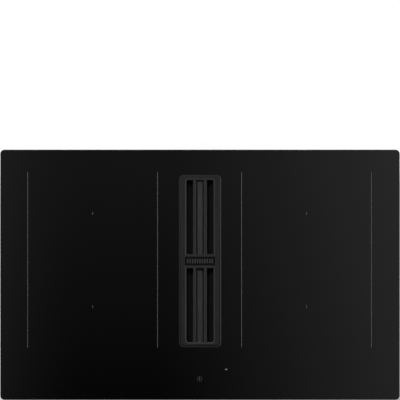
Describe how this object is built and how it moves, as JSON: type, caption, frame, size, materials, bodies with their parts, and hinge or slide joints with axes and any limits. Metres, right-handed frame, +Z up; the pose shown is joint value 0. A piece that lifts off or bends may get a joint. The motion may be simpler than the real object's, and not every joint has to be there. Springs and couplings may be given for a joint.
{
  "type": "downdraft induction cooktop",
  "caption": "Built-in black glass induction cooktop with a central air inlet, lift-out grille, grease filter and spill tray, and a blower with a flat duct outlet below.",
  "frame": {"origin": "centre of the glass outline, on the plane of the worktop under the glass seal", "axes": "+X to the right along the front edge, +Y to the rear, +Z up out of the worktop"},
  "size_m": [0.83, 0.52, 0.215],
  "materials": {
    "ceramic_glass": "polished black glass-ceramic with a fine ground edge",
    "foam_seal": "closed-cell foam",
    "silicone": "black silicone",
    "black_trim": "satin black coated steel",
    "cast_grille": "matt black enamelled casting",
    "filter_metal": "dark satin expanded metal",
    "black_plastic": "moulded, fine grain",
    "grey_plastic": "moulded, fine grain",
    "zinc_steel": "zinc-plated sheet",
    "bright_steel": "ground",
    "plain_aluminium": "mill finish",
    "copper_litz": "enamelled copper litz",
    "ferrite": "sintered, dull",
    "white_ceramic": "dull",
    "mica": "pressed mica sheet",
    "lamination": "stacked laminations",
    "green_board": "fibre board, lacquered"
  },
  "bodies": {
    "root": {"base_pan": "zinc_steel", "blower_housing_lower": "black_plastic", "blower_housing_upper": "black_plastic", "cable_gland": "black_plastic", "carrier_posts": "grey_plastic", "clamp_brackets": "zinc_steel", "clamp_screws": "zinc_steel", "coil_carrier_left": "plain_aluminium", "coil_carrier_right": "plain_aluminium", "coil_ferrites": "ferrite", "coil_former_left_front": "grey_plastic", "coil_former_left_rear": "grey_plastic", "coil_former_right_front": "grey_plastic", "coil_former_right_rear": "grey_plastic", "coil_sensors": "white_ceramic", "coil_winding_left_front": "copper_litz", "coil_winding_left_rear": "copper_litz", "coil_winding_right_front": "copper_litz", "coil_winding_right_rear": "copper_litz", "driver_box": "black_plastic", "fan_covers": "black_plastic", "fan_housing_left": "black_plastic", "fan_housing_right": "black_plastic", "glass_adhesive": "silicone", "glass_top": "ceramic_glass", "heat_sink_left": "plain_aluminium", "heat_sink_right": "plain_aluminium", "housing_screws": "zinc_steel", "inlet_ring": "grey_plastic", "inlet_trim": "black_trim", "mica_sheets": "mica", "motor_bearings": "bright_steel", "motor_bracket": "zinc_steel", "motor_grommets": "silicone", "motor_stator": "lamination", "outlet_collar": "black_plastic", "power_board_left": "green_board", "power_board_right": "green_board", "suction_well": "black_plastic", "terminal_box": "black_plastic", "touch_board": "green_board", "touch_carrier": "black_plastic", "well_seal": "foam_seal", "worktop_seal": "foam_seal"},
    "spill_tray": {"spill_tray": "grey_plastic"},
    "filter": {"filter_mesh": "filter_metal", "filter_frame": "filter_metal", "filter_handle": "filter_metal"},
    "grille": {"grille": "cast_grille", "grille_pads": "silicone"},
    "blower_rotor": {"blower_impeller": "grey_plastic", "motor_rotor": "zinc_steel", "motor_shaft": "bright_steel"},
    "fan_left": {"fan_impeller_left": "black_plastic"},
    "fan_right": {"fan_impeller_right": "black_plastic"},
    "clamp_left_front": {"clamp_arm_left_front": "zinc_steel"},
    "clamp_left_rear": {"clamp_arm_left_rear": "zinc_steel"},
    "clamp_right_front": {"clamp_arm_right_front": "zinc_steel"},
    "clamp_right_rear": {"clamp_arm_right_rear": "zinc_steel"}
  },
  "joints": [
    {"name": "spill_tray_lift", "type": "slide", "parent": "root", "child": "spill_tray", "axis": [0, 0, 1], "range_m": [0, 0.15]},
    {"name": "filter_lift", "type": "slide", "parent": "spill_tray", "child": "filter", "axis": [0, 0, 1], "range_m": [0, 0.08]},
    {"name": "grille_lift", "type": "slide", "parent": "filter", "child": "grille", "axis": [0, 0, 1], "range_m": [0, 0.06]},
    {"name": "blower_spin", "type": "hinge", "parent": "root", "child": "blower_rotor", "pos_m": [0, 0.014, -0.18], "axis": [0, 0, 1], "continuous": true},
    {"name": "fan_left_spin", "type": "hinge", "parent": "root", "child": "fan_left", "pos_m": [-0.2221, -0.1, -0.046], "axis": [0, 0, 1], "continuous": true},
    {"name": "fan_right_spin", "type": "hinge", "parent": "root", "child": "fan_right", "pos_m": [0.2221, -0.1, -0.046], "axis": [0, 0, 1], "continuous": true},
    {"name": "clamp_left_front_swing", "type": "hinge", "parent": "root", "child": "clamp_left_front", "pos_m": [-0.383, -0.14, -0.0505], "axis": [0, 0, -1], "range_deg": [0, 90]},
    {"name": "clamp_left_rear_swing", "type": "hinge", "parent": "root", "child": "clamp_left_rear", "pos_m": [-0.383, 0.14, -0.0505], "axis": [0, 0, 1], "range_deg": [0, 90]},
    {"name": "clamp_right_front_swing", "type": "hinge", "parent": "root", "child": "clamp_right_front", "pos_m": [0.383, -0.14, -0.0505], "axis": [0, 0, 1], "range_deg": [0, 90]},
    {"name": "clamp_right_rear_swing", "type": "hinge", "parent": "root", "child": "clamp_right_rear", "pos_m": [0.383, 0.14, -0.0505], "axis": [0, 0, -1], "range_deg": [0, 90]}
  ]
}
